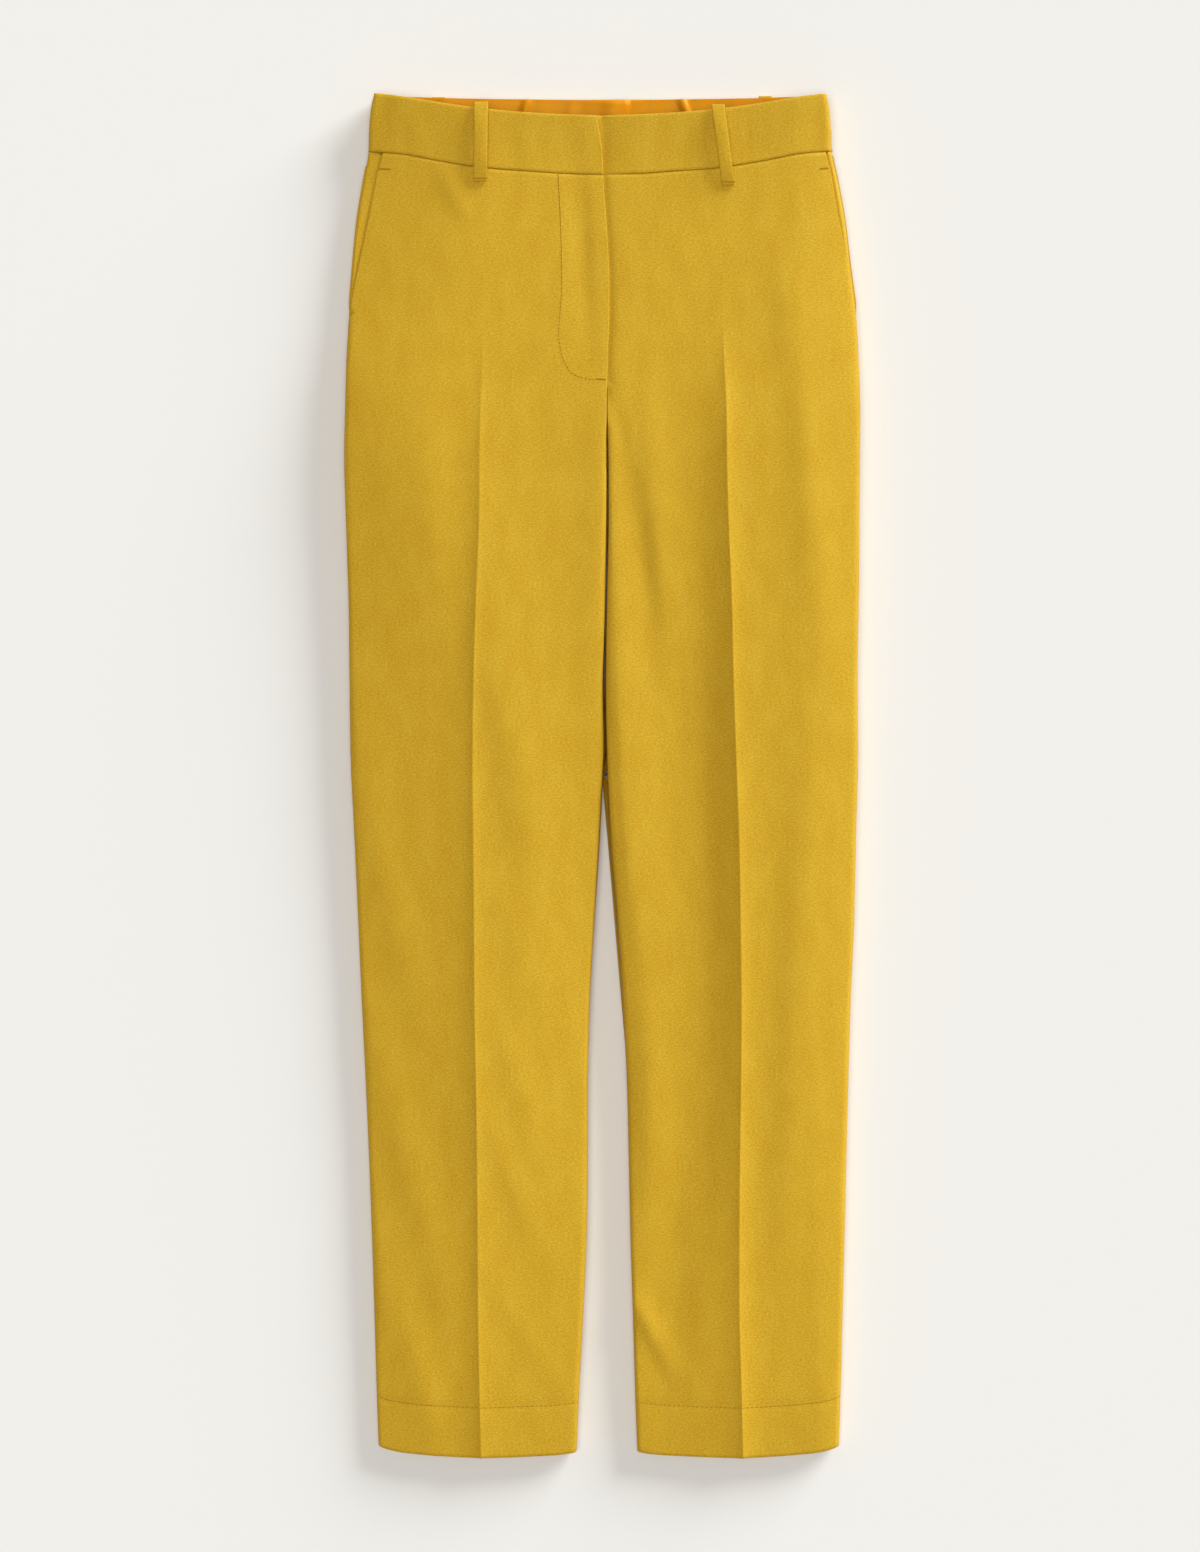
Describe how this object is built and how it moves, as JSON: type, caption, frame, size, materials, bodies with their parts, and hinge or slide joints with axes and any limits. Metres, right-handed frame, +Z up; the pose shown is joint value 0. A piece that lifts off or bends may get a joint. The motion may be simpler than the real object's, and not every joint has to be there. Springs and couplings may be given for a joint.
{
  "type": "tapered trousers laid flat",
  "caption": "High-rise tapered trousers with pressed creases, slanted pockets, a lapped fly, belt loops and a satin-lined back waistband, laid flat on their back with the hems and waist open.",
  "frame": {"origin": "middle of the garment's outline on the surface that it lies on", "axes": "+Y from the hems to the waistband, +X towards the wearer's left leg, +Z up from the surface through the backs to the fronts"},
  "size_m": [0.3829, 1.0096, 0.0349],
  "materials": {
    "twill": "mustard yellow wool-like twill, matt with a faint sheen",
    "satin": "orange satin lining, softly glossy",
    "zip_tape": "woven zip tape in the cloth's colour"
  },
  "bodies": {
    "root": {"front_right": "twill", "front_left": "twill", "back_right": "twill", "back_left": "twill", "pocket_side_right": "twill", "pocket_side_left": "twill", "fly_underlap": "twill", "fly_zip": "zip_tape", "waistband_front_right": "twill", "waistband_front_left": "twill", "waistband_back_right": "twill", "waistband_back_left": "twill", "waistband_lining_back": "satin", "belt_loop_front_right": "twill", "belt_loop_front_left": "twill", "belt_loop_back_right": "twill", "belt_loop_back_left": "twill"}
  },
  "joints": []
}
